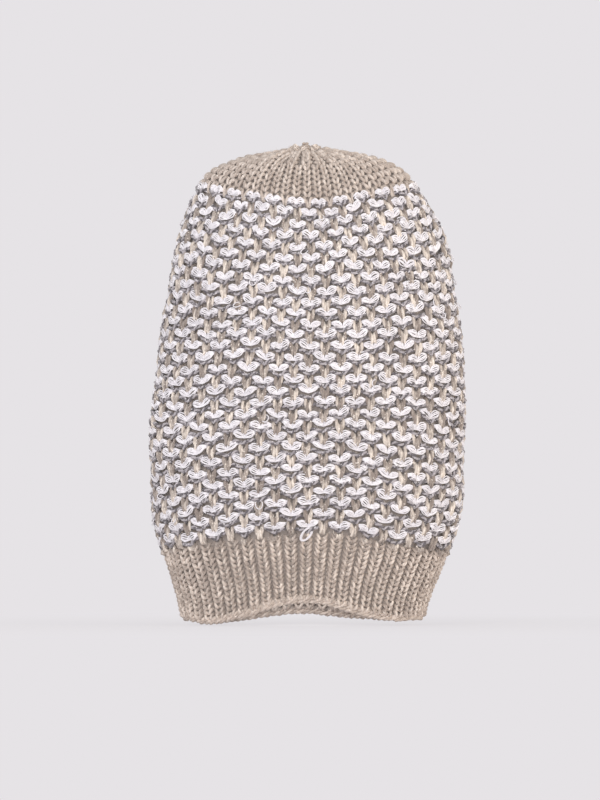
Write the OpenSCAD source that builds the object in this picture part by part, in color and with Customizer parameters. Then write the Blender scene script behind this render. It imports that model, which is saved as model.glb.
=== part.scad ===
// Knit beanie: ribbed cuff, tuck-stitch body in two contrast yarns, plain crown closed by a gather.
// Millimetres. +Z runs up through the crown. The origin is on the resting plane, at the centre
// of the head opening. The front faces -Y and the back seam is at +Y.

/* [Overall size] */
// Height from the resting plane to the top of the gather
hat_h = 301; // [245:1:365]
// Width of the body fabric where the hat is fullest
body_w = 190; // [160:1:230]
// Depth of the body fabric where the hat is fullest
body_d = 100; // [80:1:125]
// Height at which the hat is fullest
full_z = 78; // [64:1:110]

/* [Cuff] */
// Width of the cuff at its lower edge
rim_w = 148; // [120:1:178]
// Depth of the cuff at its lower edge
rim_d = 68; // [54:1:84]
// Height of the cuff at the two sides
cuff_h = 46; // [36:1:58]
// How much higher the cuff's upper edge runs at the front and the back
cuff_arch = 11; // [0:1:16]
// How far the lower edge lifts off the resting plane at the front
front_lift = 14; // [0:1:18]
// How far the lower edge lifts off the resting plane at the back
back_lift = 6; // [0:1:18]
// Thickness of the rib fabric, from rib to rib
cuff_t = 6; // [4:0.5:8]
// Depth of the furrow between two ribs
rib_depth = 1.6; // [0.5:0.1:2]
// Height of the cast-on welt along the lower edge
welt_h = 4.5; // [3:0.5:7]

/* [Body] */
// Knit columns round the hat, a multiple of four
wales = 48; // [40:4:56]
// Pattern repeats up the body
repeats = 15; // [11:1:17]
// Thickness of the ground fabric
ground_t = 3.5; // [2.5:0.1:5]
// Height of the white yarn bundle on the face
white_h = 3.8; // [2.5:0.1:5]
// How far the white yarn bundle stands out
white_t = 2; // [1:0.1:3]
// Height of the grey yarn under each white bundle
grey_h = 2.6; // [1.5:0.1:3]
// How far the grey yarn stands out
grey_t = 1.4; // [0.8:0.1:2]

/* [Crown] */
// Height of the plain crown, measured at the front
crown_h = 37; // [28:1:46]
// How much higher the crown starts at the two sides
crown_dip = 11; // [0:1:14]
// Width of the fabric where the crown starts
crown_w = 140; // [110:1:154]
// Depth of the fabric where the crown starts
crown_d = 58; // [46:1:70]
// Thickness of the crown fabric
crown_t = 4.5; // [3:0.5:6]
// Height of the peak that the gather pulls up
peak_h = 4; // [2:0.5:7]
// Radius of the hole that the gather leaves
gather_r = 5; // [4:0.5:7]
// Radius of the yarn that closes the gather
gather_yarn_r = 1.2; // [0.8:0.1:1.5]

/* [Seam and pulled loop] */
// Width of the seam allowance inside the back
seam_w = 5; // [3:0.5:7]
// Thickness of the seam allowance
seam_t = 2.5; // [1.5:0.5:4]
// Radius of the loop of white yarn that is pulled out over the cuff
loop_r = 3.6; // [2.5:0.1:5]
// Radius of one strand of the white yarn
strand_r = 0.5; // [0.4:0.1:0.8]
// How far the pulled loop lies to the left of the middle
loop_x = 3; // [0:1:20]

/* [Hidden] */
// Clearance between neighbouring solids
seat_gap = 0.3;
// Clearance between the ground fabric and the yarns that lie on it
lay_gap = 0.5;
// Clear height between a white bundle and the grey yarn under it
yarn_gap = 0.8;
// How far the ribs stand out past the body's ground fabric
cuff_out = 1.5;
// How round the cross-section is: 2 is an ellipse, more is squarer
roundness = 2.2;
// How late the body tapers towards the crown: more keeps it full for longer
taper = 3.4;
// Share of the lower edge's lift that stays flat on the resting plane
flat_share = 0.07;
// Clearance behind the seam allowance, which is straight where the fabric round it is bowed
seam_gap = 0.6;
// Shape of the dome: how quickly it turns in, and how blunt its shoulder is
dome_turn = 1.5;
dome_blunt = 0.43;
// How tightly the peak hugs the gather
peak_grip = 8;
// Levels of points up each shell
cuff_rows = 4;
crown_rows = 9;
// Columns of points round the cuff: a rib and a furrow for each knit column
cuff_points = 2 * wales;
FRONT = 270;
BACK = 90;
cuff_in = cuff_t - cuff_out;
crown_z = hat_h - crown_h;
grey_drop = white_h / 2 + yarn_gap + grey_h / 2;

function course_name(yarn, k) = str(yarn, "_course_", k < 10 ? "0" : "", k);

// ---- The hat's form -------------------------------------------------------------------

function lerp(a, b, t) = a + (b - a) * t;
function ease(t) = t * t * (3 - 2 * t);
function bend(c, p) = sign(c) * pow(abs(c), p);
// The direction of knit column i, counted from the right-hand side
function column(i, count = wales) = 360 * i / count;

// Half the width or depth at height z: it swells from the rim to full_z and tapers to the crown
function half_size(z, rim, full, crown) =
    z < full_z
        ? lerp(rim, full, ease(max(0, z / full_z))) / 2
        : lerp(full, crown, pow((z - full_z) / (crown_z - full_z), taper)) / 2;
function half_w(z) = half_size(z, rim_w, body_w, crown_w);
function half_d(z) = half_size(z, rim_d, body_d, crown_d);

// A point of the cross-section. The angle is warped so that equal steps give equal widths of knit.
function section(u, a, b, out, p = 2 / roundness) =
    let (phi = u + (a - b) / (2 * (a + b)) * sin(2 * u) * 180 / PI)
    [(a + out) * bend(cos(phi), p), (b + out) * bend(sin(phi), p)];

// Heights of the three edges, by direction
function lift(u) =
    (sin(u) > 0 ? back_lift : front_lift) * max(0, (pow(sin(u), 4) - flat_share) / (1 - flat_share));
function cuff_edge(u) = cuff_h + cuff_arch * pow(sin(u), 2);
function crown_edge(u) = crown_z + crown_dip * pow(cos(u), 2);

// A point on the cuff's or body's outer face at height z, moved out by out
function wall(u, z, out = 0) = let (p = section(u, half_w(z), half_d(z), out)) [p.x, p.y, z];

// A point on the crown: t runs from its edge, 0, to the gather, 1
function dome(u, t, out = 0) =
    let (
        z = crown_edge(u),
        rise = sin(90 * t),
        spread = pow(max(0, 1 - pow(rise, dome_turn)), dome_blunt),
        round_off = lerp(1, 2 / roundness, spread),
        p = section(u, lerp(gather_r, half_w(z), spread), lerp(gather_r, half_d(z), spread),
                    out * cos(90 * t), round_off)
    )
    [p.x, p.y, lerp(z, hat_h - peak_h, rise) + peak_h * pow(1 - spread, peak_grip) + out * rise];

// ---- Solids that run round the hat ----------------------------------------------------

// A closed ring: corner(i, j) gives corner j of the outline at column i
module hoop(around, sides, corner) {
    points = [for (i = [0:around - 1], j = [0:sides - 1]) corner(i, j)];
    faces = [
        for (i = [0:around - 1], j = [0:sides - 1])
            let (here = i * sides, next = (i + 1) % around * sides, up = (j + 1) % sides)
            each [[here + j, here + up, next + up], [here + j, next + up, next + j]]
    ];
    polyhedron(points, faces, convexity = 10);
}

// A tube of fabric: its outline goes up the outer face and down the inner one
module shell(around, rows, outer, inner) {
    hoop(around, 2 * rows, function (i, j) j < rows
        ? outer(i, j / (rows - 1))
        : inner(i, (2 * rows - 1 - j) / (rows - 1)));
}

// A flat bundle of yarn that lies on the ground fabric and steps up at every second column
module course(height, thick, centre_z) {
    corners = [[lay_gap, -0.5], [lay_gap + thick, -0.5], [lay_gap + thick, 0.5], [lay_gap, 0.5]];
    hoop(wales, len(corners), function (i, j)
        wall(column(i), centre_z(i) + corners[j][1] * height, corners[j][0]));
}

// ---- Cuff -----------------------------------------------------------------------------

// The cast-on edge: a rounded welt with a flat underside
module rim_welt() {
    round_off = welt_h / 3;
    outline = [
        [cuff_out - round_off, 0], [cuff_out, round_off], [cuff_out, welt_h],
        [-cuff_in, welt_h], [-cuff_in, round_off], [-cuff_in + round_off, 0]
    ];
    color("tan") hoop(cuff_points, len(outline), function (i, j)
        let (u = column(i, cuff_points)) wall(u, lift(u) + outline[j][1], outline[j][0]));
}

// One-by-one rib: a rib on the face at every even point and on the inside at every odd one
module rib_cuff() {
    function furrow(i) = i % 2 * rib_depth;
    function height(i, t) =
        let (u = column(i, cuff_points)) lerp(lift(u) + welt_h + seat_gap, cuff_edge(u) - seat_gap, t);
    function place(i, t, out) = wall(column(i, cuff_points), height(i, t), out - furrow(i));
    color("tan") shell(cuff_points, cuff_rows,
        function (i, t) place(i, t, cuff_out), function (i, t) place(i, t, rib_depth - cuff_in));
}

// ---- Body -----------------------------------------------------------------------------

module body_ground() {
    function height(i, t) = lerp(cuff_edge(column(i)), crown_edge(column(i)), t);
    color("rosybrown") shell(wales, repeats + 1,
        function (i, t) wall(column(i), height(i, t)),
        function (i, t) wall(column(i), height(i, t), -ground_t));
}

// Height of the white yarn's centre in pattern repeat k, at column i
function white_z(i, k) =
    let (
        u = column(i),
        low = cuff_edge(u) + seat_gap + grey_h / 2 + grey_drop,
        high = crown_edge(u) - seat_gap - white_h / 2
    )
    lerp(low, high, (k - 1 + i % 2 / 2) / (repeats - 0.5));

module white_course(k) {
    color("white") course(white_h, white_t, function (i) white_z(i, k));
}

module grey_course(k) {
    color("dimgray") course(grey_h, grey_t, function (i) white_z(i, k) - grey_drop);
}

// ---- Crown ----------------------------------------------------------------------------

module crown_panel() {
    color("tan") translate([0, 0, seat_gap]) shell(wales, crown_rows,
        function (i, t) dome(column(i), t),
        function (i, t) dome(column(i), t, -crown_t));
}

// The yarn drawn through the last course, seated in the hole that it closes
module gather_yarn() {
    color("tan") translate([0, 0, hat_h - crown_t / 2]) rotate_extrude($fn = 48)
        translate([gather_r - seat_gap - gather_yarn_r, 0]) circle(r = gather_yarn_r, $fn = 24);
}

// The knot that fills the eye of the gather
module gather_knot() {
    knot_r = gather_r - 2 * gather_yarn_r - 2 * seat_gap;
    color("tan") translate([0, 0, hat_h - crown_t / 2]) sphere(r = knot_r, $fn = 48);
}

// ---- Seam and pulled loop -------------------------------------------------------------

// The linked seam allowance, which runs up the inside of the back into the crown
module back_seam() {
    cuff_top = cuff_edge(BACK);
    crown_foot = crown_edge(BACK);
    ramp = 3;
    crown_end = 0.6;
    crown_steps = 4;
    cuff_offset = -cuff_in - seam_gap;
    body_offset = -ground_t - seam_gap;
    crown_offset = -crown_t - seam_gap;
    spine = concat(
        [for (t = [0:0.5:1]) wall(BACK, lerp(lift(BACK) + welt_h, cuff_top, t), cuff_offset)],
        [for (t = [0:0.1:1]) wall(BACK, lerp(cuff_top + ramp, crown_foot - ramp, t), body_offset)],
        [for (s = [0:crown_steps]) dome(BACK, crown_end * s / crown_steps, crown_offset)]
    );
    last = len(spine) - 1;
    points = [
        for (p = spine) each [
            [-seam_w / 2, p.y, p.z], [seam_w / 2, p.y, p.z],
            [seam_w / 2, p.y - seam_t, p.z], [-seam_w / 2, p.y - seam_t, p.z]
        ]
    ];
    sides = [
        for (s = [0:last - 1], j = [0:3])
            let (a = 4 * s + j, b = 4 * s + (j + 1) % 4)
            each [[a, b, b + 4], [a, b + 4, a + 4]]
    ];
    ends = [[3, 2, 1, 0], [for (j = [0:3]) 4 * last + j]];
    color("tan") polyhedron(points, concat(sides, ends), convexity = 6);
}

// One strand of white yarn, pulled out of the lowest course and lying over the top of the cuff
module pulled_loop() {
    front = round(FRONT / 360 * wales);
    centre_z = white_z(front, 1) - white_h / 2 - seat_gap - strand_r - loop_r;
    foot = wall(FRONT, centre_z - loop_r);
    head = wall(FRONT, centre_z + loop_r);
    lean = atan2(foot.y - head.y, 2 * loop_r);
    out = max(cuff_out, lay_gap + grey_t) + seat_gap + strand_r;
    color("white")
        translate([-loop_x, (foot.y + head.y) / 2 - out, centre_z])
        rotate([90 + lean, 0, 0])
        rotate_extrude($fn = 48) translate([loop_r, 0]) circle(r = strand_r, $fn = 24);
}

// ---- Output ---------------------------------------------------------------------------

rim_welt();
rib_cuff();
body_ground();
crown_panel();
gather_yarn();
gather_knot();
back_seam();
pulled_loop();
for (k = [1:repeats]) {
    white_course(k);
    grey_course(k);
}
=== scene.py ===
# A knit beanie, built round the frame from its cast-on edge up to its gather. Every yarn is laid on
# one surface, the form of the fabric, which is measured from the frame's own shells.
import math

import bpy
import numpy as np
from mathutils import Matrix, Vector, noise
from mathutils.bvhtree import BVHTree


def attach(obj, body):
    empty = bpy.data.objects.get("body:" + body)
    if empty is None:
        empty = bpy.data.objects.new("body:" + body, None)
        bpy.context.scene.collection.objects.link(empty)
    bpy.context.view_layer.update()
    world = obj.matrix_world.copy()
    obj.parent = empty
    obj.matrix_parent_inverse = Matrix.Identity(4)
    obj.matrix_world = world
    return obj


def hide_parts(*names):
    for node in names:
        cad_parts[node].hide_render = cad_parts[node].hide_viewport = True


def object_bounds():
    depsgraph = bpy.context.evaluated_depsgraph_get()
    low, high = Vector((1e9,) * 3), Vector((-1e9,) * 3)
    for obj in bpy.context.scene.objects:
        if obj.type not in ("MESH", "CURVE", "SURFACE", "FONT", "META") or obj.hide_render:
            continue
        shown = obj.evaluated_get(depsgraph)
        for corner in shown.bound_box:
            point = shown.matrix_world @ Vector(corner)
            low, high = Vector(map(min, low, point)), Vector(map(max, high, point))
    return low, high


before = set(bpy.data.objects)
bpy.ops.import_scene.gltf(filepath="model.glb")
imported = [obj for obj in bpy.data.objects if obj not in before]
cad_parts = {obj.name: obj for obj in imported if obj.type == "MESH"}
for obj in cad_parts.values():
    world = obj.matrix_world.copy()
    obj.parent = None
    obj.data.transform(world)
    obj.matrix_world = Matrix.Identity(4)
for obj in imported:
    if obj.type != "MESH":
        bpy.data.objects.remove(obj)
cad_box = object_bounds()
MM = 0.001

# ---- Studio ---------------------------------------------------------------------------
# A level camera far in front of the hat, and a plain pale floor. Soft light comes from all round,
# with a key light above on the left, a fill in front, a warm light on the right and a faint one
# inside the cuff.
scene = bpy.context.scene
scene.view_settings.view_transform = "Standard"
CAMERA_DISTANCE = 8.0
VIEW_HEIGHT = 0.5  # what the frame shows from top to bottom, at the hat
SENSOR = 36.0
AIM = Vector((-0.005, 0, 0.1406))
BACKDROP = (0.791, 0.768, 0.791)


def placed(name, data):
    """A new object in the scene, at the origin."""
    obj = bpy.data.objects.new(name, data)
    scene.collection.objects.link(obj)
    return obj


def camera():
    data = bpy.data.cameras.new("camera")
    data.sensor_width = SENSOR
    data.lens = SENSOR * CAMERA_DISTANCE / VIEW_HEIGHT
    data.clip_end = 50
    obj = placed("camera", data)
    obj.location = AIM - Vector((0, CAMERA_DISTANCE, 0))
    obj.rotation_euler = (math.pi / 2, 0, 0)
    scene.camera = obj


def softbox(name, place, size, power, tint=(1, 1, 1), aim=AIM):
    """A round area light, turned towards aim. Its size is in m and its power in W."""
    data = bpy.data.lights.new(name, "AREA")
    data.shape, data.size, data.energy, data.color = "DISK", size, power, tint
    obj = placed(name, data)
    obj.location = place
    obj.rotation_euler = (Vector(aim) - Vector(place)).to_track_quat("-Z", "Y").to_euler()


class Value:
    """A node's output socket. Arithmetic on it adds Math nodes to its tree."""

    def __init__(self, bench, socket):
        self.bench, self.socket = bench, socket

    def math(self, operation, *others):
        sockets = dict(enumerate((self, *others)))
        return self.bench.add("ShaderNodeMath", {"operation": operation}, sockets)

    def reflected(self, operation, other):
        return self.bench.add("ShaderNodeMath", {"operation": operation}, {0: other, 1: self})

    def __add__(self, other):
        return self.math("ADD", other)

    def __sub__(self, other):
        return self.math("SUBTRACT", other)

    def __mul__(self, other):
        return self.math("MULTIPLY", other)

    def __truediv__(self, other):
        return self.math("DIVIDE", other)

    def __mod__(self, other):
        return self.math("FLOORED_MODULO", other)

    def __pow__(self, other):
        return self.math("POWER", other)

    def __rsub__(self, other):
        return self.reflected("SUBTRACT", other)

    def __rtruediv__(self, other):
        return self.reflected("DIVIDE", other)

    def __abs__(self):
        return self.math("ABSOLUTE")

    def floor(self):
        return self.math("FLOOR")

    def sin(self):
        return self.math("SINE")

    def cos(self):
        return self.math("COSINE")

    __radd__ = __add__
    __rmul__ = __mul__


class Bench:
    """One node tree, and the one way in which nodes are added to it."""

    def __init__(self, tree):
        self.tree = tree

    def add(self, kind, settings=None, sockets=None, output=0):
        """A node's type, its settings, and its sockets by number or identifier."""
        node = self.tree.nodes.new(kind)
        for name, value in (settings or {}).items():
            setattr(node, name, value)
        by_key = {s.identifier: s for s in node.inputs} | dict(enumerate(node.inputs))
        for key, value in (sockets or {}).items():
            if isinstance(value, Value):
                self.tree.links.new(value.socket, by_key[key])
            else:
                by_key[key].default_value = value
        return Value(self, node.outputs[output]) if len(node.outputs) else node

    def vector(self, operation, *values, output=0, **more):
        sockets = dict(enumerate(values)) | more
        return self.add("ShaderNodeVectorMath", {"operation": operation}, sockets, output)

    def scaled(self, vector, factor):
        return self.vector("SCALE", vector, Scale=factor)


def new_material(name):
    """An empty material, and the bench for its nodes."""
    material = bpy.data.materials.new(name)
    material.use_nodes = True
    material.node_tree.nodes.clear()
    return material, Bench(material.node_tree)


FLOOR_HALF = 3.0
FADE_FROM, FADE_TO = 0.1, 0.45  # how far from the hat the floor turns into the backdrop, m
GLOW_NEAR = 0.8  # the share of the backdrop's own colour in the floor beside the hat


def floor():
    """A pale floor that fades into the backdrop away from the hat, and keeps the hat's shadow."""
    material, bench = new_material("floor")
    seen = bench.add("ShaderNodeLightPath", output=0)
    place = bench.add("ShaderNodeTexCoord", output=3)
    distance = bench.vector("LENGTH", place, output=1)
    away = bench.add("ShaderNodeMapRange", {"interpolation_type": "SMOOTHSTEP"},
                     {"Value": distance, "From Min": FADE_FROM, "From Max": FADE_TO})
    paint = bench.add("ShaderNodeBsdfDiffuse", sockets={"Color": (*BACKDROP, 1)})
    glow = bench.add("ShaderNodeEmission", sockets={"Color": (*BACKDROP, 1)})
    share = seen * (GLOW_NEAR + away * (1 - GLOW_NEAR))
    mixed = bench.add("ShaderNodeMixShader", sockets={0: share, 1: paint, 2: glow})
    bench.add("ShaderNodeOutputMaterial", sockets={"Surface": mixed})
    mesh = bpy.data.meshes.new("floor")
    corners = [(x * FLOOR_HALF, y * FLOOR_HALF, 0) for x, y in ((-1, -1), (1, -1), (1, 1), (-1, 1))]
    mesh.from_pydata(corners, [], [(0, 1, 2, 3)])
    mesh.materials.append(material)
    placed("floor", mesh)


def sky(strength):
    """An even white light from all round, which the camera sees as the backdrop's colour."""
    world = bpy.data.worlds.new("studio")
    world.use_nodes = True
    world.node_tree.nodes.clear()
    bench = Bench(world.node_tree)
    seen = bench.add("ShaderNodeLightPath", output=0)
    light = bench.add("ShaderNodeBackground", sockets={"Color": (1, 1, 1, 1), "Strength": strength})
    backdrop = bench.add("ShaderNodeBackground", sockets={"Color": (*BACKDROP, 1), "Strength": 1})
    mixed = bench.add("ShaderNodeMixShader", sockets={0: seen, 1: light, 2: backdrop})
    bench.add("ShaderNodeOutputWorld", sockets={"Surface": mixed})
    scene.world = world


camera()
floor()
sky(0.74)
softbox("key", (-0.9, -2.5, 1.3), 1.4, 21)
softbox("front_fill", (0.2, -3.0, 0.08), 0.8, 38)
softbox("warm_side", (1.9, -0.9, 0.5), 1.0, 9, (1, 0.84, 0.6))
softbox("inside_bounce", (0, -0.015, 0.06), 0.05, 0.035, aim=(0, 0.04, 0.0))

# ---- The form of the fabric -----------------------------------------------------------
# A beanie is one tube of knitting, drawn in at the top. Its form is a grid of points with a level
# for every height: 0 to 1 is the cuff, 1 to 2 the body and 2 to 3 the crown, up to the gather.
# It only guides the yarns, and isn't a piece.
COLUMNS = 48
CUFF, BODY, CROWN = 12, 60, 30  # rows of points in each part of the form
AROUND = 4 * COLUMNS
SHELLS = ("rim_welt", "rib_cuff", "body_ground", "crown_panel")
GATHER_RADIUS = 5.5 * MM
FAR = 0.3  # where a ray starts, well outside the hat, m
LEVELS = np.concatenate([np.linspace(0, 1, CUFF, endpoint=False), np.linspace(1, 2, BODY, endpoint=False),
                         np.linspace(2, 3, CROWN + 1)])
TURN = np.linspace(0, 2 * math.pi, AROUND, endpoint=False)


def rays_at(*nodes):
    """A tree of the named nodes' triangles, for rays to hit."""
    points, faces = [], []
    for name in nodes:
        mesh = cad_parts[name].data
        mesh.calc_loop_triangles()
        first = len(points)
        points += [v.co.copy() for v in mesh.vertices]
        faces += [[first + i for i in t.vertices] for t in mesh.loop_triangles]
    return BVHTree.FromPolygons(points, faces)


def smooth_round(values, times):
    """Evens out values that go round the hat along their last axis."""
    for _ in range(times):
        values = (np.roll(values, 1, -1) + 2 * values + np.roll(values, -1, -1)) / 4
    return values


def measured_form():
    """The form as an array of points, [row, column]."""
    inward = [Vector((-math.cos(a), -math.sin(a), 0)) for a in TURN]
    heights = np.arange(0.5 * MM, cad_box[1][2], 1.0 * MM)

    def radii(tree):
        found = np.full((len(heights), AROUND), np.nan)
        for row, z in enumerate(heights):
            for at, direction in enumerate(inward):
                hit = tree.ray_cast(Vector((0, 0, z)) - direction * FAR, direction, FAR)
                if hit[0] is not None:
                    found[row, at] = math.hypot(hit[0].x, hit[0].y)
        return found

    def first_height(found):
        return smooth_round(heights[np.argmax(~np.isnan(found), 0)], 2)

    everything = rays_at(*SHELLS)
    radius = radii(everything)
    body = radii(rays_at("body_ground"))
    rim, cuff_top = first_height(radius), first_height(body)
    crown_foot = smooth_round(heights[len(heights) - 1 - np.argmax(~np.isnan(body[::-1]), 0)], 2)
    for at in range(AROUND):  # below the arched rim the wall goes straight down
        known = ~np.isnan(radius[:, at])
        radius[:, at] = np.interp(heights, heights[known], radius[known, at])
    radius = smooth_round(radius, 4)

    def section(row):
        """Points that share the way round evenly."""
        ring = np.stack([np.cos(TURN), np.sin(TURN)], -1) * radius[row][:, None]
        ring = np.vstack([ring, ring[:1]])
        way = np.concatenate([[0], np.cumsum(np.linalg.norm(np.diff(ring, axis=0), axis=1))])
        steps = np.linspace(0, way[-1], AROUND, endpoint=False)
        return np.stack([np.interp(steps, way, ring[:, k]) for k in (0, 1)], -1)

    levels = [z for z in heights if z < crown_foot.max()]
    sections = np.array([section(row) for row in range(len(levels))])

    def edge(by_turn, around_z):
        """The height of an edge at every column."""
        xy = sections[int(np.argmin(abs(np.array(levels) - around_z)))]
        angles = np.arctan2(xy[:, 1], xy[:, 0]) % (2 * math.pi)
        return np.interp(angles, TURN, by_turn, period=2 * math.pi)

    edges = edge(rim, rim.mean()), edge(cuff_top, cuff_top.mean()), edge(crown_foot, crown_foot.mean())
    grid = np.zeros((CUFF + BODY + CROWN + 1, AROUND, 3))
    for at in range(AROUND):
        low, middle, high = (e[at] for e in edges)
        z = np.concatenate([np.linspace(low, middle, CUFF, endpoint=False),
                            np.linspace(middle, high, BODY + 1)])
        for k in (0, 1):
            grid[:CUFF + BODY + 1, at, k] = np.interp(z, levels, sections[:, at, k])
        grid[:CUFF + BODY + 1, at, 2] = z
        grid[CUFF + BODY:, at] = crown_line(everything, grid[CUFF + BODY, at])
    return grid


def crown_line(tree, foot):
    """From a point on the crown's edge, over the dome to the gather, in even steps."""
    out = Vector((foot[0], foot[1], 0)).normalized()
    centre = Vector((0, 0, foot[2]))
    line = [Vector(foot)]
    for angle in np.radians(np.arange(2, 90, 1.5)):
        direction = -(out * math.cos(angle) + Vector((0, 0, 1)) * math.sin(angle))
        hit = tree.ray_cast(centre - direction * FAR, direction, FAR)[0]
        if hit is not None and math.hypot(hit.x, hit.y) > GATHER_RADIUS:
            line.append(hit)
    line = np.array(line)
    way = np.concatenate([[0], np.cumsum(np.linalg.norm(np.diff(line, axis=0), axis=1))])
    steps = np.linspace(0, way[-1], CROWN + 1)
    return np.stack([np.interp(steps, way, line[:, k]) for k in range(3)], -1)


def outward(grid):
    """The direction out of the fabric at each point of a grid."""
    along = np.gradient(grid, axis=0)
    around = np.roll(grid, -1, 1) - np.roll(grid, 1, 1)
    normal = np.cross(around, along)
    return normal / np.linalg.norm(normal, axis=-1, keepdims=True)


# How the slack tube hangs. Each pair is a list of places and how many mm the cloth moves there.
# Heights are in mm from the floor, the rim's places in mm from the middle, and levels the form's.
SWAY_BY_HEIGHT = (0, 60, 130, 205, 265, 301), (-3.0, -0.5, 0.0, 2.8, 0.5, -1.6)
SHOULDER_BY_HEIGHT = (205, 245, 262, 274), (0, 2.6, 1.6, 0)
SHOULDER_HALF = 0.06  # how far out the shoulders move in full, m
DRIFT_BY_LEVEL = (0, 0.6, 1.2, 2.0, 2.4, 3), (0.4, 1.0, 2.6, 2.6, 1.2, 0)
DRIFT_SCALE = 26  # waves in a metre
DRIFT_SPOTS = (3, 5, 7), (3, 67, 7)  # places in the noise, for sideways and for up
DENT_BY_LEVEL = (0, 1, 1.3, 2.2, 3), (0.4, 0.8, 1.6, 1.2, 0.3)
DENT_SCALE = 22
SINK_BY_LEVEL = (2.1, 2.5, 2.9, 3), (0, 2.0, 3.6, 2.4)
PLEATS_FROM, PLEAT_DEPTH = 2.1, 1.5
RIM_LIFT_RIGHT = (20, 70), (0, 3.0)
RIM_LIFT_LEFT = (58, 66, 75), (0, 0.6, 2.8)


def metres_at(where, places_and_mm):
    return np.interp(where, *places_and_mm) * MM


def soften(grid):
    """Hand-made slackness: a slight sway, shallow dents, and pleats that grow towards the gather."""
    def waves(scale, spot=(0, 0, 0)):
        return np.array([[noise.noise(Vector(p) * scale + Vector(spot)) for p in row] for row in grid])

    for _ in range(3):
        grid[1:-1] = (grid[:-2] + 2 * grid[1:-1] + grid[2:]) / 4
        grid[:] = np.moveaxis(smooth_round(np.moveaxis(grid, 1, -1), 1), -1, 1)
    level = LEVELS[:, None]
    drift = [waves(DRIFT_SCALE, spot) * metres_at(level, DRIFT_BY_LEVEL) for spot in DRIFT_SPOTS]
    pleat = np.clip(level - PLEATS_FROM, 0, 1) ** 1.3
    folds = np.sin(11 * TURN + 2.0 * np.sin(2 * TURN)) + 0.6 * np.sin(17 * TURN + 1.3)
    bulge = waves(DENT_SCALE) * metres_at(level, DENT_BY_LEVEL) + pleat * folds * PLEAT_DEPTH * MM
    grid = grid + outward(grid) * bulge[..., None]
    x, z = grid[..., 0], grid[..., 2]
    x += metres_at(z / MM, SWAY_BY_HEIGHT) + drift[0]
    z += drift[1] - metres_at(level, SINK_BY_LEVEL)
    x += metres_at(z / MM, SHOULDER_BY_HEIGHT) * np.clip(x / SHOULDER_HALF, -1, 1)
    rim = np.clip(1 - level, 0, 1)
    z += rim * metres_at(x / MM, RIM_LIFT_RIGHT)
    z += rim ** 2 * metres_at(-x / MM, RIM_LIFT_LEFT)
    return grid


def guide(grid):
    """The form as a mesh that the yarns follow. Its map "place" holds the way round and the level,
    and its attribute "out" the direction out of the fabric."""
    closed = np.concatenate([grid, grid[:, :1]], 1)
    normals = outward(grid)
    normals = np.concatenate([normals, normals[:, :1]], 1)
    wide = AROUND + 1
    faces = [(r * wide + c, r * wide + c + 1, (r + 1) * wide + c + 1, (r + 1) * wide + c)
             for r in range(len(grid) - 1) for c in range(AROUND)]
    mesh = bpy.data.meshes.new("form")
    mesh.from_pydata(closed.reshape(-1, 3).tolist(), [], faces)
    mesh.attributes.new("out", "FLOAT_VECTOR", "POINT").data.foreach_set("vector", normals.reshape(-1))
    place = np.stack(np.meshgrid(np.linspace(0, 1, wide), LEVELS / 3), -1).reshape(-1, 2)
    loops = np.zeros(len(mesh.loops), dtype=np.int32)
    mesh.loops.foreach_get("vertex_index", loops)
    mesh.uv_layers.new(name="place").data.foreach_set("uv", place[loops].reshape(-1))
    return placed("form", mesh)


form = soften(measured_form())
cloth = guide(form)


def length_of(first, last):
    """Mean length of the fabric between two rows of the form, in mm."""
    part = form[first:last + 1]
    return float(np.linalg.norm(np.diff(part, axis=0), axis=-1).sum(0).mean()) / MM


cuff_length = length_of(0, CUFF)
body_length = length_of(CUFF, CUFF + BODY)
crown_length = length_of(CUFF + BODY, CUFF + BODY + CROWN)

# ---- Rib cuff -------------------------------------------------------------------------
# One-by-one rib: a column of knit stitches that faces out, then one that faces in. Each stitch
# shows as two legs, a V that points down, and rounds of yarn cross from one face to the other.


def yarn(name, dark, light, fleck, fleck_share, tip):
    """Plied wool and acrylic with a slight halo of fibres. dark and light are the two ends of its
    colour, and the attribute tint picks a place between them: the strand's own random tone, and in
    some pieces painted shade, where tint is lowered or a shaded copy of the beige is used.
    fleck is stray fibres of another colour, and tip tints the halo."""
    material, bench = new_material(name)
    place = bench.add("ShaderNodeTexCoord", output=3)
    tint = bench.add("ShaderNodeAttribute", {"attribute_name": "tint"}, output=2)

    def clouds(scale, detail=2.0):
        return bench.add("ShaderNodeTexNoise", {}, {"Vector": place, "Scale": scale, "Detail": detail})

    def between(factor, low, high):
        settings = {"interpolation_type": "SMOOTHSTEP", "clamp": True}
        sockets = {"Value": factor, "From Min": low, "From Max": high}
        return bench.add("ShaderNodeMapRange", settings, sockets)

    def mixed(factor, a, b):
        a, b = (c if isinstance(c, Value) else (*c, 1) for c in (a, b))
        return bench.add("ShaderNodeMix", {"data_type": "RGBA"},
                         {"Factor_Float": factor, "A_Color": a, "B_Color": b}, output=2)

    fine, broad = clouds(330), clouds(60)
    heather = between(fine * 0.5 + broad * 0.2 + tint * 0.42, 0.30, 0.82)
    colour = mixed(heather, dark, light)
    flecks = between(clouds(900, 1.0), 0.66 - fleck_share, 0.76 - fleck_share)
    colour = mixed(flecks, colour, fleck)
    fibres = clouds(1800, 3.0)
    bump = bench.add("ShaderNodeBump", {},
                     {"Strength": 0.4, "Distance": 0.2 * MM, "Height": fibres})
    rough = 0.82 + fibres * 0.15
    skin = bench.add("ShaderNodeBsdfPrincipled", {}, {
        "Base Color": colour, "Roughness": rough, "Normal": bump,
        "Sheen Weight": 0.35, "Sheen Roughness": 0.5, "Sheen Tint": (*tip, 1), "Specular IOR Level": 0.2})
    bench.add("ShaderNodeOutputMaterial", sockets={"Surface": skin})
    return material
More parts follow.
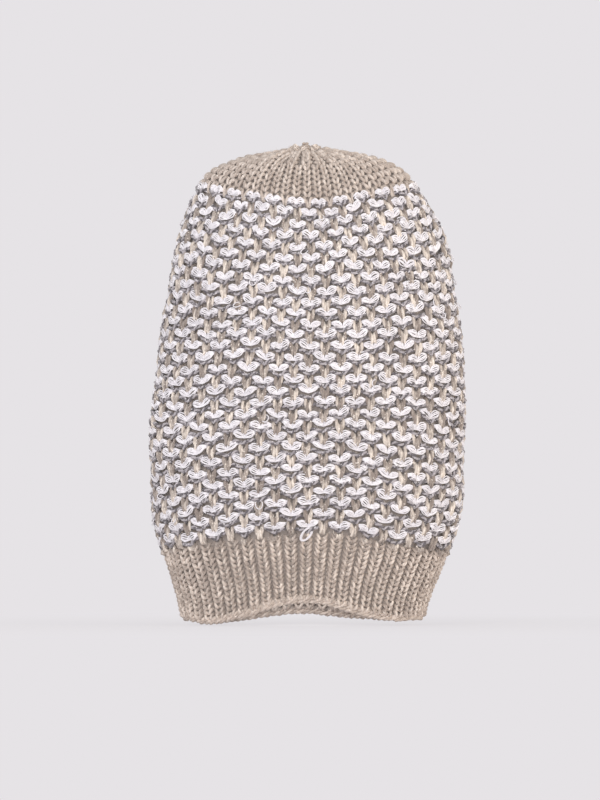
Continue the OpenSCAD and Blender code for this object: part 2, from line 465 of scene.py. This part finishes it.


# The cuff's yarn is a heathered beige. shade is the same beige, darkened as painted shade for the gaps.
beige = yarn("beige_yarn", dark=(0.45, 0.375, 0.33), light=(0.81, 0.705, 0.63),
             fleck=(0.87, 0.79, 0.73), fleck_share=0.02, tip=(1, 0.95, 0.9))
shade = yarn("beige_painted_shade", dark=(0.36, 0.31, 0.285), light=(0.58, 0.51, 0.465),
             fleck=(0.68, 0.61, 0.56), fleck_share=0.02, tip=(1, 0.95, 0.9))


def knitting_tree(name, sockets):
    """A new tree with the given inputs, which bench.given holds by name."""
    tree = bpy.data.node_groups.new(name, "GeometryNodeTree")
    tree.interface.new_socket("Geometry", in_out="OUTPUT", socket_type="NodeSocketGeometry")
    for label, kind in {**sockets, "Seed": "Int", "Cloth": "Object", "Material": "Material"}.items():
        tree.interface.new_socket(label, in_out="INPUT", socket_type="NodeSocket" + kind)
    bench = Bench(tree)
    entry = tree.nodes.new("NodeGroupInput")
    bench.given = {s.name: Value(bench, s) for s in entry.outputs if s.name}
    return bench


def chance(bench, item, salt, reach):
    """A random number from -reach to reach that belongs to an item, such as a stitch."""
    sockets = {"Min_001": -1.0, "Max_001": 1.0, "ID": item, "Seed": bench.given["Seed"] + salt}
    return bench.add("FunctionNodeRandomValue", {"data_type": "FLOAT"}, sockets, 1) * reach


def lay_yarn(bench, count, strand_id, around, level, lift, across, out, radius, tint, sides, closed=False):
    """Runs curves through points on the cloth, shifts each to its place in the yarn and gives it a
    round section. around is in columns, and lift, across, out and radius are in mm."""
    given = bench.given
    form_mesh = bench.add("GeometryNodeObjectInfo", {}, {"Object": given["Cloth"]}, output=4)
    place, normal, up = (bench.add("GeometryNodeInputNamedAttribute", {"data_type": "FLOAT_VECTOR"},
                                   {"Name": name}) for name in ("place", "out", "up"))
    here = bench.add("GeometryNodeInputPosition")
    way = around / COLUMNS
    level = level.math("MAXIMUM", 0.004).math("MINIMUM", 2.996)  # just inside the form's edges
    at = bench.add("ShaderNodeCombineXYZ", {}, {0: way - way.floor(), 1: level / 3})

    def sampled(value):
        return bench.add("GeometryNodeSampleUVSurface", {"data_type": "FLOAT_VECTOR"},
                         {"Mesh": form_mesh, "Value": value, "Source UV Map": place, "Sample UV": at})

    points = bench.add("GeometryNodePoints", {}, {"Count": count})
    curves = bench.add("GeometryNodePointsToCurves", {}, {"Points": points, "Curve Group ID": strand_id})
    if closed:
        curves = bench.add("GeometryNodeSetSplineCyclic", {}, {"Geometry": curves, "Cyclic": True})
    curves = bench.add("GeometryNodeStoreNamedAttribute", {"data_type": "FLOAT_VECTOR", "domain": "POINT"},
                       {"Geometry": curves, "Name": "up", "Value": sampled(normal)})
    curves = bench.add("GeometryNodeStoreNamedAttribute", {"data_type": "FLOAT", "domain": "POINT"},
                       {"Geometry": curves, "Name": "tint", "Value": tint})
    centre = bench.vector("ADD", sampled(here), bench.scaled(up, lift * MM))
    curves = bench.add("GeometryNodeSetPosition", {}, {"Geometry": curves, "Position": centre})
    run = bench.add("GeometryNodeInputTangent")
    beside = bench.vector("NORMALIZE", bench.vector("CROSS_PRODUCT", run, up))
    above = bench.vector("CROSS_PRODUCT", beside, run)
    shift = bench.vector("ADD", bench.scaled(beside, across * MM), bench.scaled(above, out * MM))
    curves = bench.add("GeometryNodeSetPosition", {}, {"Geometry": curves, "Offset": shift})
    ring = bench.add("GeometryNodeCurvePrimitiveCircle", {"mode": "RADIUS"},
                     {"Resolution": sides, "Radius": 1.0})
    mesh = bench.add("GeometryNodeCurveToMesh", {},
                     {"Curve": curves, "Profile Curve": ring, "Scale": radius * MM, "Fill Caps": True})
    mesh = bench.add("GeometryNodeSetShadeSmooth", {}, {"Geometry": mesh, "Shade Smooth": True})
    mesh = bench.add("GeometryNodeRealizeInstances", {}, {"Geometry": mesh})
    mesh = bench.add("GeometryNodeSetMaterial", {}, {"Geometry": mesh, "Material": given["Material"]})
    exit_node = bench.tree.nodes.new("NodeGroupOutput")
    bench.tree.links.new(mesh.socket, exit_node.inputs[0])


def make(name, bench, nodes, slot, **settings):
    """Runs a tree once, keeps its result as a plain mesh and ties the piece to the frame."""
    obj = placed(name, bpy.data.meshes.new(name))
    modifier = obj.modifiers.new("knit", "NODES")
    modifier.node_group = bench.tree
    wanted = {label.replace("_", " "): value for label, value in settings.items()} | {"cloth": cloth}
    for item in bench.tree.interface.items_tree:
        if item.in_out == "INPUT" and item.name.lower() in wanted:
            modifier[item.identifier] = wanted.pop(item.name.lower())
    if wanted:
        raise ValueError(f"{name}: no input called {list(wanted)}")
    ready = bpy.context.evaluated_depsgraph_get()
    mesh = bpy.data.meshes.new_from_object(obj.evaluated_get(ready), preserve_all_data_layers=True,
                                           depsgraph=ready)
    obj.modifiers.remove(modifier)
    obj.data = mesh
    mesh.name = name
    tie(obj, nodes)


def tie(obj, nodes):
    """Fixes a finished piece to the hat, in place of the frame's nodes that it stands for."""
    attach(obj, "root")
    if nodes:
        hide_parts(*nodes)


def smooth_piece(name, points, faces, material, nodes):
    """A piece from its own points and faces, shaded smooth."""
    mesh = bpy.data.meshes.new(name)
    mesh.from_pydata(points, [], faces)
    mesh.materials.append(material)
    mesh.shade_smooth()
    obj = placed(name, mesh)
    tie(obj, nodes)
    return obj


def fabric(name, first, last, columns, rows, outer, inner, bump, bumps):
    """A closed sheet of knitting between two rows of the form, which closes the gaps between the
    yarns. It is coloured with shade, the beige darkened as painted shade of the gaps. outer and
    inner are the depths of its two sides and bump the height of the bumps on its inner side, in mm.
    bumps is how many of them it has up its height."""
    level = np.linspace(first, last, rows + 1)
    way = np.arange(columns) / columns * AROUND
    r0 = np.minimum(level.astype(int), form.shape[0] - 2)
    c0 = way.astype(int)
    fr, fc = (level - r0)[:, None, None], (way - c0)[None, :, None]

    def blended(values):
        a = values[r0][:, c0] * (1 - fc) + values[r0][:, (c0 + 1) % AROUND] * fc
        b = values[r0 + 1][:, c0] * (1 - fc) + values[r0 + 1][:, (c0 + 1) % AROUND] * fc
        return a * (1 - fr) + b * fr

    place, up = blended(form), blended(outward(form))
    bumps_round = np.sin(np.arange(columns) / columns * 4 * COLUMNS * math.pi)[None, :]
    bumps_up = np.sin(np.linspace(0, 1, rows + 1) * bumps * math.pi)[:, None]
    front = place - up * outer * MM
    back = place - up * (MM * (inner + bump * abs(bumps_up) * (0.7 + 0.3 * bumps_round)))[..., None]
    points = np.concatenate([front.reshape(-1, 3), back.reshape(-1, 3)])
    offset = (rows + 1) * columns
    faces = []
    for r in range(rows):
        for c in range(columns):
            a, b = r * columns + c, r * columns + (c + 1) % columns
            faces.append((a, b, b + columns, a + columns))
            faces.append((offset + a + columns, offset + b + columns, offset + b, offset + a))
    for c in range(columns):
        a, b = c, (c + 1) % columns
        top_a, top_b = rows * columns + a, rows * columns + b
        faces.append((offset + a, offset + b, b, a))
        faces.append((top_a, top_b, offset + top_b, offset + top_a))
    # The sheet takes the painted shade of the gaps, not the yarn's own beige.
    obj = smooth_piece(name, points.tolist(), faces, shade, ())
    rings = np.linalg.norm(np.roll(place, -1, 1) - place, axis=-1).sum(1)


def leg_tree():
    """Columns of V-shaped stitches, two legs of two plies to a stitch. Fade darkens each leg's
    top end, as painted shade.
    """
    bench = knitting_tree("knit_legs", {
        "Columns": "Int", "Rows": "Int", "Foot": "Float", "Head": "Float", "Length": "Float",
        "Stagger": "Float", "Shift": "Float", "Spread": "Float", "Toe": "Float", "Reach": "Float",
        "Base": "Float", "Side": "Float", "Lift": "Float", "Swell": "Float", "Plunge": "Float",
        "Lean": "Float", "Fade": "Float", "Ply": "Float", "Lay": "Float", "Turns": "Float",
        "Uneven": "Float"})
    given = bench.given
    steps, plies, legs, sides = 7, 2, 2, 5
    index = bench.add("GeometryNodeInputIndex")
    t = index % steps / (steps - 1)
    strand = (index / steps).floor()
    ply = strand % plies
    leg = (strand / plies).floor() % legs * 2 - 1
    stitch = (strand / (plies * legs)).floor()
    column = stitch % given["Columns"]
    row = (stitch / given["Columns"]).floor()
    uneven = given["Uneven"]
    late = column % 2 / 2 * given["Stagger"]
    share = (row + late) / (given["Rows"] - 1 + given["Stagger"] / 2)
    beside = leg * (given["Spread"] + (given["Toe"] - given["Spread"]) * t ** 0.85)
    beside = beside + chance(bench, stitch, 1, 0.03) * uneven
    up = given["Reach"] * (1 - t * 2) + chance(bench, stitch, 2, 0.35) * uneven
    arch = (t * math.pi).sin()
    ends = abs(t * 2 - 1) ** 4
    proud = given["Lift"] + given["Swell"] * arch - given["Plunge"] * ends
    proud = proud + chance(bench, stitch, 3, 0.25) * uneven
    proud = proud - given["Lean"] * (1 - t) ** 2
    level = given["Foot"] + (given["Head"] - given["Foot"]) * share + up / given["Length"]
    wide = COLUMNS / given["Columns"]
    turn = (ply / plies + given["Turns"] * t * leg + chance(bench, stitch, 4, 0.1)) * 2 * math.pi
    count = given["Columns"] * given["Rows"] * (steps * plies * legs)
    around = (column + beside + given["Shift"]) * wide
    radius = given["Ply"] * (1 - ends * 0.35)
    # tint: the strand's own random tone, lowered by Fade towards the top end as painted shade.
    tint = chance(bench, strand, 5, 0.5) + 0.5 - given["Fade"] * (1 - t) ** 1.5
    lay_yarn(bench, count, strand, around, level, given["Base"] + given["Side"] * proud,
             turn.cos() * given["Lay"], turn.sin() * given["Lay"], radius, tint, sides)
    return bench


def round_tree():
    """Rounds of plied yarn that run all the way round the hat, in and out between two faces."""
    bench = knitting_tree("knit_rounds", {
        "Rounds": "Int", "Foot": "Float", "Head": "Float", "Length": "Float", "Base": "Float",
        "Wave": "Float", "Waves": "Float", "Sway": "Float", "Plies": "Int", "Ply": "Float",
        "Lay": "Float", "Turns": "Float", "Uneven": "Float"})
    given = bench.given
    per_column, sides = 8, 6
    steps = per_column * COLUMNS
    index = bench.add("GeometryNodeInputIndex")
    column = index % steps / per_column
    strand = (index / steps).floor()
    ply = strand % given["Plies"]
    row = (strand / given["Plies"]).floor()
    share = row / (given["Rounds"] - 1).math("MAXIMUM", 1)
    angle = column * given["Waves"] * 2 * math.pi
    near = (column + row * 7).floor()
    level = given["Foot"] + (given["Head"] - given["Foot"]) * share
    up = angle.sin() * given["Sway"] + chance(bench, near, 1, 0.25) * given["Uneven"]
    level = level + up / given["Length"]
    turn = (ply / given["Plies"] + given["Turns"] * column) * 2 * math.pi
    radius = given["Ply"] + chance(bench, near, 2, 0.06) * given["Uneven"]
    tint = chance(bench, strand, 3, 0.5) + 0.5
    lay_yarn(bench, given["Rounds"] * given["Plies"] * steps, strand, column, level,
             given["Base"] + angle.cos() * given["Wave"], turn.cos() * given["Lay"],
             turn.sin() * given["Lay"], radius, tint, sides, closed=True)
    return bench


legs_of_yarn = leg_tree()
rounds_of_yarn = round_tree()

RIB_ROWS = 14
# fade is painted shade on the legs' top ends, which lie in the furrows.
RIB = dict(columns=COLUMNS, rows=RIB_ROWS, foot=0.09, head=0.955, length=cuff_length, stagger=0.0,
           spread=0.39, toe=0.09, reach=2.0, swell=1.0, plunge=1.3, ply=0.84, lay=0.40, turns=0.5,
           lean=0.4, fade=0.6, uneven=0.7)
make("rib_face_columns", legs_of_yarn, ("rib_cuff",), "beige_yarn", material=beige, seed=11,
     base=0.3, side=1.0, lift=0.0, shift=0.0, **RIB)
make("rib_inside_columns", legs_of_yarn, (), "beige_yarn", material=beige, seed=12,
     base=-3.2, side=-1.0, lift=0.0, shift=0.5, **RIB)
# The rounds in the furrows are the beige darkened, as painted shade.
make("rib_cross_rounds", rounds_of_yarn, (), "beige_yarn", material=shade, seed=13, rounds=RIB_ROWS,
     foot=0.07, head=0.98, length=cuff_length, base=-2.1, wave=0.9, waves=1.0, sway=0.0, plies=2,
     ply=0.85, lay=0.6, turns=1.5, uneven=0.6)
fabric("rib_backing", first=1, last=CUFF + 1, columns=AROUND, rows=2 * CUFF, outer=1.5, inner=1.9,
       bump=0.0, bumps=RIB_ROWS)

# ---- Cast-on edge ---------------------------------------------------------------------
# The first round of loops, in two plies of the cuff's beige yarn. Nothing holds it flat, so it
# rolls into a soft cord along the lower edge.
make("cast_on_edge", rounds_of_yarn, ("rim_welt",), "beige_yarn", material=beige, seed=21, rounds=2,
     foot=0.022, head=0.064, length=cuff_length, base=-1.2, wave=0.7, waves=1.0, sway=0.15, plies=2,
     ply=1.05, lay=0.85, turns=1.0, uneven=1.0)

# ---- Body ground ----------------------------------------------------------------------
# Long slipped stitches in beige show on the face between the contrast yarns. Their tops, where
# # they go behind them, are painted darker as painted shade. Every second column is half a repeat
# # higher. Behind them is the inner fabric, whose wrong side shows inside the hat.
REPEATS = len([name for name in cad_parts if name.startswith("white_course")])
V_DROP = 7.7  # from the middle of a white bundle down to the middle of the V under it, mm
# A copy of the cuff's beige, much darker at its dark end and lighter at its light end: painted light and
# shade.
slip = yarn("slip_beige_painted_light_and_shade", dark=(0.29, 0.24, 0.215), light=(0.84, 0.745, 0.665),
            fleck=(0.88, 0.80, 0.73), fleck_share=0.03, tip=(1, 0.95, 0.9))


def ring_levels(node):
    """Levels at which a course crosses the even and the odd columns, measured from its solid."""
    half_column = 4.5 * MM
    xyz = np.array([v.co[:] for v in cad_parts[node].data.vertices])
    found = {0: [], 1: []}
    lines = form[:, ::AROUND // COLUMNS]
    levels = np.linspace(1, 2, BODY + 1)
    for column in range(COLUMNS):
        line = lines[CUFF:CUFF + BODY + 1, column]
        middle = line[np.argmin(abs(line[:, 2] - xyz[:, 2].mean()))]
        near = xyz[np.hypot(xyz[:, 0] - middle[0], xyz[:, 1] - middle[1]) < half_column]
        if len(near):
            height = (near[:, 2].min() + near[:, 2].max()) / 2
            found[column % 2].append(np.interp(height, line[:, 2], levels))
    return float(np.median(found[0])), float(np.median(found[1]))


first_even = ring_levels("white_course_01")[0]
last_odd = ring_levels(f"white_course_{REPEATS:02d}")[1]
# fade paints shade on the stitches' tops, under the contrast yarns.
make("ground_stitches", legs_of_yarn, ("body_ground",), "beige_yarn", material=slip, seed=31,
     columns=COLUMNS, rows=REPEATS, foot=first_even - V_DROP / body_length,
     head=last_odd - V_DROP / body_length, length=body_length, stagger=1.0, shift=0.0, spread=0.26,
     toe=0.05, reach=5.7, base=0.0, side=1.0, lift=1.8, swell=0.9, plunge=2.6, lean=1.5, fade=0.6,
     ply=1.0, lay=0.72, turns=1.0, uneven=1.0)
fabric("ground_fabric", first=CUFF - 1, last=CUFF + BODY + 1, columns=6 * COLUMNS, rows=2 * BODY,
       outer=0.9, inner=2.6, bump=0.6, bumps=4 * REPEATS)

# ---- Back seam ------------------------------------------------------------------------
# The tube is knitted flat and sewn up at the back, on the inside. The seam is a chain of small
# stitches in beige yarn, from the cuff to the middle of the crown.
SEAM = dict(columns=1, stagger=0.0, shift=0.25, spread=0.0042, toe=0.0012, base=-5.0, side=-1.0,
            swell=0.6, plunge=1.0, lift=0.0, lean=0.0, fade=0.0, ply=0.62, lay=0.5, turns=0.8,
            uneven=0.05, reach=2.6, material=beige)  # across, this one column is the whole way round
make("back_seam_body", legs_of_yarn, ("back_seam",), "beige_yarn", seed=51, rows=54, foot=1.0,
     head=1.99, length=body_length, **SEAM)
make("back_seam_cuff", legs_of_yarn, (), "beige_yarn", seed=52, rows=9, foot=0.28, head=0.94,
     length=cuff_length, **SEAM)
make("back_seam_crown", legs_of_yarn, (), "beige_yarn", seed=53, rows=11, foot=2.02, head=2.55,
     length=crown_length, **SEAM)

# ---- Contrast courses -----------------------------------------------------------------
# Rounds of white strands, each with a round of dark marled yarn under it. A yarn shows as a pair
# of wings at its own column and dives behind the long stitches of the columns beside it.
white = yarn("white_yarn", dark=(0.74, 0.705, 0.74), light=(0.90, 0.865, 0.90),
             fleck=(0.95, 0.93, 0.95), fleck_share=0.05, tip=(1, 1, 1))
grey = yarn("grey_yarn", dark=(0.14, 0.125, 0.135), light=(0.42, 0.385, 0.405),
            fleck=(0.66, 0.62, 0.64), fleck_share=0.07, tip=(0.8, 0.8, 0.8))


def wing_tree():
    """Strands that lie across every column as two wings. s runs from -1 to 1 across a pair of them."""
    bench = knitting_tree("contrast_wings", {
        "Even": "Float", "Odd": "Float", "Length": "Float", "Reach": "Float", "Rise": "Float",
        "Bend": "Float", "Drop": "Float", "Lift": "Float", "Swell": "Float", "Dive": "Float",
        "Strands": "Int", "Fan": "Float", "Lay": "Float", "Turns": "Float", "Strand": "Float",
        "Marl": "Float", "Uneven": "Float"})
    given = bench.given
    steps, sides = 13, 5
    index = bench.add("GeometryNodeInputIndex")
    s = index % steps / ((steps - 1) / 2) - 1
    far = abs(s)
    strand = (index / steps).floor()
    number = strand % given["Strands"]
    column = (strand / given["Strands"]).floor()
    odd = column % 2
    uneven = given["Uneven"]
    wing = column * 2 + s.math("GREATER_THAN", 0)
    rise = given["Rise"] * (1 + chance(bench, wing, 1, 0.42) * uneven)
    beside = s * given["Reach"] + chance(bench, column, 2, 0.045) * uneven
    slant = s * (chance(bench, column, 10, 0.9) * uneven)
    up = rise * (far * given["Bend"]).sin() + slant - given["Drop"]
    up = up + chance(bench, column, 3, 0.6) * uneven
    hidden = bench.add("ShaderNodeMapRange", {"interpolation_type": "SMOOTHSTEP"},
                       {"Value": far, "From Min": 0.72, "From Max": 1.0})
    arch = (far * math.pi).sin()
    swell = given["Swell"] * arch * (1 + chance(bench, wing, 4, 0.35) * uneven)
    proud = given["Lift"] + swell - given["Dive"] * hidden
    level = given["Even"] + (given["Odd"] - given["Even"]) * odd + up / given["Length"]
    rank = number - (given["Strands"] - 1) / 2
    narrow, opening, haste = 0.26, 0.80, 1.36
    spread = narrow + opening * ((far * haste).math("MINIMUM", 1.0) * math.pi).sin()
    stray = chance(bench, strand, 5, 0.16) * uneven
    fan = (rank + stray) * given["Fan"] * spread * (1 + chance(bench, wing, 6, 0.2) * uneven)
    turn = (number / given["Strands"] + given["Turns"] * s + chance(bench, column, 7, 0.5)) * 2 * math.pi
    across = fan + turn.cos() * given["Lay"]
    out = turn.sin() * given["Lay"] - fan * fan * 0.11 + chance(bench, strand, 8, 0.4) * uneven * arch
    radius = given["Strand"] * (1 - hidden * 0.4)
    tint = chance(bench, strand, 9, 0.5) + 0.5 + (number % 2 - 0.5) * given["Marl"]
    lay_yarn(bench, given["Strands"] * (COLUMNS * steps), strand, column + beside, level, proud,
             across, out, radius, tint, sides)
    return bench


wings_of_yarn = wing_tree()
for number in range(1, REPEATS + 1):
    even, odd = ring_levels(f"white_course_{number:02d}")
    shared = dict(even=even, odd=odd, length=body_length, rise=2.9, bend=2.1, uneven=1.0)
    make(f"white_course_strands_{number:02d}", wings_of_yarn, (f"white_course_{number:02d}",),
         "white_yarn", material=white, seed=100 + number, reach=0.87, drop=0.0, lift=1.7, swell=1.5,
         dive=3.8, strands=5, fan=1.06, lay=0.0, turns=0.0, strand=0.46, marl=0.0, **shared)
    make(f"grey_course_yarn_{number:02d}", wings_of_yarn, (f"grey_course_{number:02d}",),
         "grey_yarn", material=grey, seed=200 + number, reach=0.84, drop=3.6, lift=2.1, swell=0.5,
         dive=3.2, strands=2, fan=0.0, lay=0.68, turns=1.7, strand=0.8, marl=1.4, **shared)

# ---- Crown ----------------------------------------------------------------------------
# Plain knitting in beige. After a few rounds the stitches are knitted two together, and the last
# round is drawn up on a yarn and knotted.
CROWN_ROWS = 11
DECREASE_AT = 7
row_level = 0.93 / CROWN_ROWS  # the last stretch is the drawn-up hole
# The cuff's beige with dimmer light tones: painted shade, as the crown gets less light than the cuff.
crest = yarn("crown_beige_painted_shade", dark=(0.45, 0.375, 0.33), light=(0.71, 0.62, 0.56),
             fleck=(0.78, 0.70, 0.645), fleck_share=0.02, tip=(1, 0.95, 0.9))
# fade is painted shade on the legs' top ends.
TOP = dict(length=crown_length, stagger=0.0, shift=0.0, base=0.0, side=1.0, swell=0.6, plunge=0.9,
           turns=0.5, lean=0.3, fade=0.5, uneven=0.5)
make("crown_stitches", legs_of_yarn, ("crown_panel",), "beige_yarn", material=crest, seed=41,
     columns=COLUMNS, rows=DECREASE_AT, foot=2 + 0.3 * row_level,
     head=2 + (DECREASE_AT - 0.7) * row_level, spread=0.42, toe=0.07, reach=2.2, lift=0.7, ply=0.92,
     lay=0.42, **TOP)
make("crown_top_stitches", legs_of_yarn, (), "beige_yarn", material=crest, seed=42,
     columns=COLUMNS // 2, rows=CROWN_ROWS - DECREASE_AT, foot=2 + (DECREASE_AT + 0.3) * row_level,
     head=2 + (CROWN_ROWS - 0.7) * row_level, spread=0.34, toe=0.08, reach=2.4, lift=0.3, ply=1.1,
     lay=0.6, **TOP)
fabric("crown_backing", first=CUFF + BODY - 1, last=CUFF + BODY + CROWN, columns=AROUND, rows=CROWN,
       outer=1.2, inner=1.8, bump=0.3, bumps=CROWN_ROWS)
make("gather_yarn_ring", rounds_of_yarn, ("gather_yarn",), "beige_yarn", material=beige, seed=43, rounds=2,
     foot=2.96, head=2.99, length=crown_length, base=-0.6, wave=0.5, waves=0.25, sway=0.4, plies=2,
     ply=0.55, lay=0.5, turns=0.25, uneven=0.5)


def strands(name, lines, radius, material, nodes, sides=6):
    """One piece of round strands, each along its own line of points, in mm."""
    points, faces = [], []
    around = np.arange(sides) / sides * 2 * math.pi
    for line in lines:
        line = np.array(line)
        along = np.gradient(line, axis=0)
        along /= np.linalg.norm(along, axis=1, keepdims=True)
        side = np.cross(along[0], (0.31, 0.22, 0.92))  # any direction that no line starts along
        first = len(points)
        for here, run in zip(line, along):
            side = side - run * side.dot(run)
            side /= np.linalg.norm(side)
            up = np.cross(run, side)
            points += [(here + radius * (math.cos(a) * side + math.sin(a) * up)) * MM for a in around]
        last = first + (len(line) - 1) * sides
        for a in range(first, last, sides):
            for k in range(sides):
                b = a + (k + 1) % sides
                faces.append((a + k, b, b + sides, a + k + sides))
        faces.append(tuple(range(first + sides - 1, first - 1, -1)))
        faces.append(tuple(range(last, last + sides)))
    smooth_piece(name, [tuple(p) for p in points], faces, material, nodes)


def yarn_ball(centre, radius, turns):
    """A line that winds round a ball, as the tail does in the knot."""
    u = np.linspace(0, 2 * math.pi, 96)
    tilt = turns * u + 0.6
    wound = np.stack([np.sin(tilt) * np.cos(2 * u), np.sin(tilt) * np.sin(2 * u), np.cos(tilt)], -1)
    return centre + wound * np.array(radius)


def tail(start, side):
    """A short yarn end that leaves the knot to one side and droops."""
    return [start + (0.6 * side * u, -0.8 * u + 0.3 * side * u * u, 2.0 + 1.4 * math.sin(u))
            for u in np.linspace(0, 2.4, 9)]


def middle_of(node):
    """The middle of a frame node, in mm."""
    return np.array([v.co[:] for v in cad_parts[node].data.vertices]).mean(0) / MM


knot = middle_of("gather_knot") + (SWAY_BY_HEIGHT[1][-1], 0, -1.2)
strands("gather_knot_yarn", [yarn_ball(knot, (3.6, 3.4, 2.0), 5), tail(knot, -1), tail(knot, 1)], 0.85,
        beige, ("gather_knot",))

# ---- Loose loops ----------------------------------------------------------------------
# One white loop hangs out at the front above the cuff, where strands have been pulled. Many small
# ones stand off the courses, because the loose white strands slip easily.


def on_cloth(point):
    """The nearest place on the form, in mm, and the directions sideways, up and out there."""
    away = np.linalg.norm(form - np.array(point) * MM, axis=-1)
    row, column = np.unravel_index(np.argmin(away), away.shape)
    row = min(max(row, 1), form.shape[0] - 2)
    up = form[row + 1, column] - form[row - 1, column]
    up /= np.linalg.norm(up)
    out = outward(form)[row, column]
    return form[row, column] / MM, np.cross(up, out), up, out


def loop_line(point, wide, tall, tilt, proud, open_by=0.5):
    """An open loop that hangs down from the cloth. open_by is half of its gap, in radians."""
    here, side, up, out = on_cloth(point)
    line = []
    for a in np.linspace(open_by - math.pi, math.pi - open_by, 21):
        x, y = wide * math.sin(a), -tall * math.cos(a)
        x, y = x * math.cos(tilt) + y * math.sin(tilt), y * math.cos(tilt) - x * math.sin(tilt)
        line.append(here + side * x + up * y + out * proud * (0.15 + math.cos(a / 2) ** 0.7))
    return line


pulled = middle_of("pulled_loop") + (2.5, 0, 1.5)
hanging = [loop_line(pulled, 2.6, 5.0, 0.65, 3.2), loop_line(pulled, 2.0, 4.2, 0.6, 3.5),
           loop_line(pulled, 2.4, 4.9, 0.72, 4.2)]
strands("pulled_loop_strands", hanging, 0.5, white, ("pulled_loop",))

STRAY_LOOPS = 46
draw = np.random.default_rng(61)
loops = []
for _ in range(STRAY_LOOPS):
    row = draw.integers(CUFF + 2, CUFF + BODY - 2)
    column = draw.integers(0, AROUND)
    loops.append(loop_line(form[row, column] / MM, draw.uniform(1.4, 2.4), draw.uniform(1.6, 3.2),
                           draw.uniform(-1.5, 1.5), draw.uniform(3.0, 4.6), 0.7))
strands("stray_loops", loops, 0.36, white, (), sides=5)

# ---- Fuzz -----------------------------------------------------------------------------
# The brushed ends of the yarns' own fibres, which give the hat its halo. They stand off the cloth
# at random places, beige on the cuff and the crown and white on the body.
FIBRES = 1800


def fuzz_tree():
    """Short curled fibres, each rooted at its own place."""
    bench = knitting_tree("fuzz", {"Fibres": "Int", "Foot": "Float", "Head": "Float", "Fibre": "Float"})
    given = bench.given
    steps = 5
    index = bench.add("GeometryNodeInputIndex")
    t = index % steps / (steps - 1)
    fibre = (index / steps).floor()
    middle = (given["Foot"] + given["Head"]) / 2
    level = middle + chance(bench, fibre, 1, 1.0) * (given["Head"] - given["Foot"]) / 2
    around = chance(bench, fibre, 2, COLUMNS / 2) + COLUMNS / 2
    curl = (t * 3 + chance(bench, fibre, 3, 2.0)).sin()
    level = level + (chance(bench, fibre, 4, 0.010) * t + curl * 0.002)
    around = around + chance(bench, fibre, 5, 0.25) * t + curl * 0.06
    lift = 0.6 + t * (1.7 + chance(bench, fibre, 6, 1.3))
    lay_yarn(bench, given["Fibres"] * steps, fibre, around, level, lift, t * 0, t * 0,
             given["Fibre"] * (1.1 - t * 0.6), chance(bench, fibre, 7, 0.5) + 0.5, 3)
    return bench


fuzz = fuzz_tree()
make("rib_fuzz", fuzz, (), "beige_yarn", material=beige, seed=71, fibres=FIBRES, foot=0.03, head=1.05,
     fibre=0.07)
make("crown_fuzz", fuzz, (), "beige_yarn", material=beige, seed=72, fibres=FIBRES, foot=2.0,
     head=2.97, fibre=0.07)
make("body_fuzz", fuzz, (), "white_yarn", material=white, seed=73, fibres=FIBRES, foot=1.02, head=2.0,
     fibre=0.06)

bpy.data.objects.remove(cloth)
